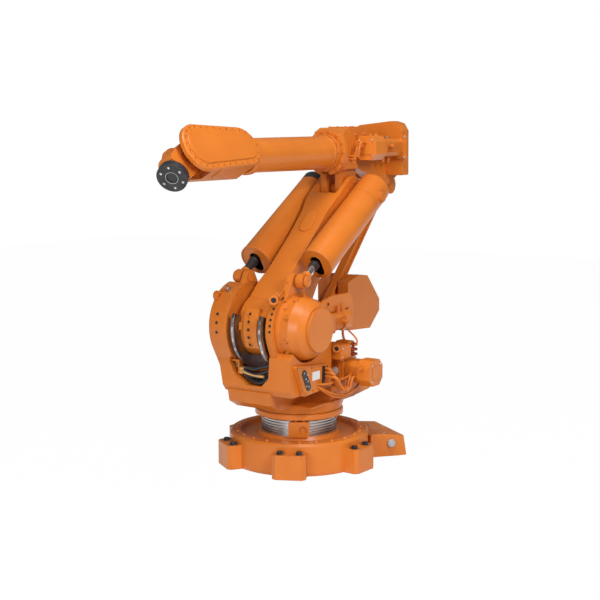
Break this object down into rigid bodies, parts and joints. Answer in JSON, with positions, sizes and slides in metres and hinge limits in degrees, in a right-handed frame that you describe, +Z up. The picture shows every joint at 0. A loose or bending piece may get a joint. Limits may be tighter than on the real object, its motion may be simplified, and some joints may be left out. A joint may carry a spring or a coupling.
{
  "type": "six axis industrial robot arm",
  "caption": "Heavy orange six-axis industrial robot arm with a parallel rod to a crank arm with counterweight, two balancing cylinders, a long tube arm and a black tool flange.",
  "frame": {"origin": "on the floor, on the vertical axis 1 of the robot", "axes": "+X is the way the arm reaches in the pictured pose, +Y is the robot's left, +Z is up"},
  "size_m": [2.4317, 1.0583, 2.1568],
  "materials": {
    "paint": "gloss orange paint",
    "bright_steel": "ground and polished steel",
    "ribbed_metal": "bare ribbed metal",
    "black_metal": "satin black",
    "grey_metal": "dull grey metal",
    "black_hose": "black rubber"
  },
  "bodies": {
    "base": {"base_casting": "paint", "base_pedestal": "paint", "connector_box": "paint", "cable_drum": "ribbed_metal", "drum_bracket": "paint"},
    "frame": {"turntable_ring": "paint", "frame_casting": "paint", "balancer_foot_pin_left": "bright_steel", "balancer_foot_pin_right": "bright_steel", "axis_2_gearbox": "paint", "axis_2_gearbox_cover": "paint", "axis_3_gearbox": "paint", "axis_1_motor": "paint", "axis_1_gearbox": "paint", "axis_2_motor": "paint", "axis_3_motor": "paint", "junction_box": "paint", "connector_block": "paint", "side_panel": "paint", "side_plate": "black_metal", "window_panel": "paint", "window_cables": "black_hose", "base_motor_cables": "paint"},
    "lower_arm": {"lower_arm_casting": "paint", "hub_bracket": "paint", "cable_loop_left": "grey_metal", "cable_loop_right": "grey_metal", "arm_cover": "paint", "balancer_head_pin_left": "bright_steel", "balancer_head_pin_right": "bright_steel"},
    "elbow_pin": {"elbow_shaft": "bright_steel"},
    "upper_arm": {"upper_arm_housing": "paint", "rod_pin": "bright_steel", "rear_cover": "paint", "axis_4_motor": "paint", "elbow_cables": "paint"},
    "arm_tube": {"arm_tube": "paint", "wrist_housing": "paint", "wrist_cover_left": "paint", "wrist_cover_right": "paint"},
    "wrist_tilt": {"tilt_housing": "paint"},
    "turning_disc": {"turning_disc": "black_metal"},
    "crank_arm": {"parallel_arm": "paint", "counterweight": "paint"},
    "rod_foot_pin": {"crank_pin": "bright_steel"},
    "parallel_rod": {"parallel_rod": "paint"},
    "balancer_rod_left": {"balancer_rod_left": "bright_steel"},
    "balancer_rod_right": {"balancer_rod_right": "bright_steel"},
    "balancer_barrel_left": {"balancer_barrel_left": "paint", "barrel_head_left": "paint"},
    "balancer_barrel_right": {"balancer_barrel_right": "paint", "barrel_head_right": "paint"}
  },
  "joints": [
    {"name": "axis_1", "type": "hinge", "parent": "base", "child": "frame", "pos_m": [0, 0, 0], "axis": [0, 0, 1], "range_deg": [-213, 147]},
    {"name": "axis_2", "type": "hinge", "parent": "frame", "child": "lower_arm", "pos_m": [0.3, 0, 0.9], "axis": [0, 1, 0], "range_deg": [-22, 110]},
    {"name": "elbow_pin_turn", "type": "hinge", "parent": "lower_arm", "child": "elbow_pin", "pos_m": [-0.45702, 0, 1.7118], "axis": [0, 1, 0], "range_deg": [-110, 22]},
    {"name": "upper_arm_turn", "type": "hinge", "parent": "elbow_pin", "child": "upper_arm", "pos_m": [-0.45702, 0, 1.7118], "axis": [0, 1, 0], "range_deg": [-29, 22]},
    {"name": "axis_4", "type": "hinge", "parent": "upper_arm", "child": "arm_tube", "pos_m": [-0.45292, 0, 1.94677], "axis": [0.9998, 0, -0.0175], "range_deg": [-330, 270]},
    {"name": "axis_5", "type": "hinge", "parent": "arm_tube", "child": "wrist_tilt", "pos_m": [1.12184, 0, 1.91928], "axis": [0.0087, 0.866, 0.4999], "range_deg": [-156, 84]},
    {"name": "axis_6", "type": "hinge", "parent": "wrist_tilt", "child": "turning_disc", "pos_m": [1.28184, 0.05878, 1.81466], "axis": [0.8, 0.2939, -0.5231], "range_deg": [-300, 300]},
    {"name": "axis_3", "type": "hinge", "parent": "frame", "child": "crank_arm", "pos_m": [0.3, 0, 0.9], "axis": [0, 1, 0], "range_deg": [-29, 22]},
    {"name": "rod_foot_turn", "type": "hinge", "parent": "crank_arm", "child": "rod_foot_pin", "pos_m": [-0.27991, 0, 0.91012], "axis": [0, 1, 0], "range_deg": [-22, 29]},
    {"name": "rod_turn", "type": "hinge", "parent": "rod_foot_pin", "child": "parallel_rod", "pos_m": [-0.27991, 0, 0.91012], "axis": [0, 1, 0], "range_deg": [-22, 110]},
    {"name": "balancer_rod_turn_left", "type": "hinge", "parent": "frame", "child": "balancer_rod_left", "pos_m": [0.3, -0.228, 1.186], "axis": [0, 1, 0], "range_deg": [-27.72, 138.6]},
    {"name": "balancer_barrel_turn_left", "type": "hinge", "parent": "lower_arm", "child": "balancer_barrel_left", "pos_m": [-0.45348, -0.228, 1.66674], "axis": [0, 1, 0], "range_deg": [-5.72, 28.6]},
    {"name": "balancer_rod_turn_right", "type": "hinge", "parent": "frame", "child": "balancer_rod_right", "pos_m": [0.3, 0.228, 1.186], "axis": [0, 1, 0], "range_deg": [-27.72, 138.6]},
    {"name": "balancer_barrel_turn_right", "type": "hinge", "parent": "lower_arm", "child": "balancer_barrel_right", "pos_m": [-0.45348, 0.228, 1.66674], "axis": [0, 1, 0], "range_deg": [-5.72, 28.6]}
  ],
  "couplings": [
    {"joint": "elbow_pin_turn", "follows": "axis_2", "ratio": -1},
    {"joint": "upper_arm_turn", "follows": "axis_3", "ratio": 1},
    {"joint": "rod_foot_turn", "follows": "axis_3", "ratio": -1},
    {"joint": "rod_turn", "follows": "axis_2", "ratio": 1},
    {"joint": "balancer_rod_turn_left", "follows": "axis_2", "ratio": 1.26},
    {"joint": "balancer_barrel_turn_left", "follows": "axis_2", "ratio": 0.26},
    {"joint": "balancer_rod_turn_right", "follows": "axis_2", "ratio": 1.26},
    {"joint": "balancer_barrel_turn_right", "follows": "axis_2", "ratio": 0.26}
  ]
}
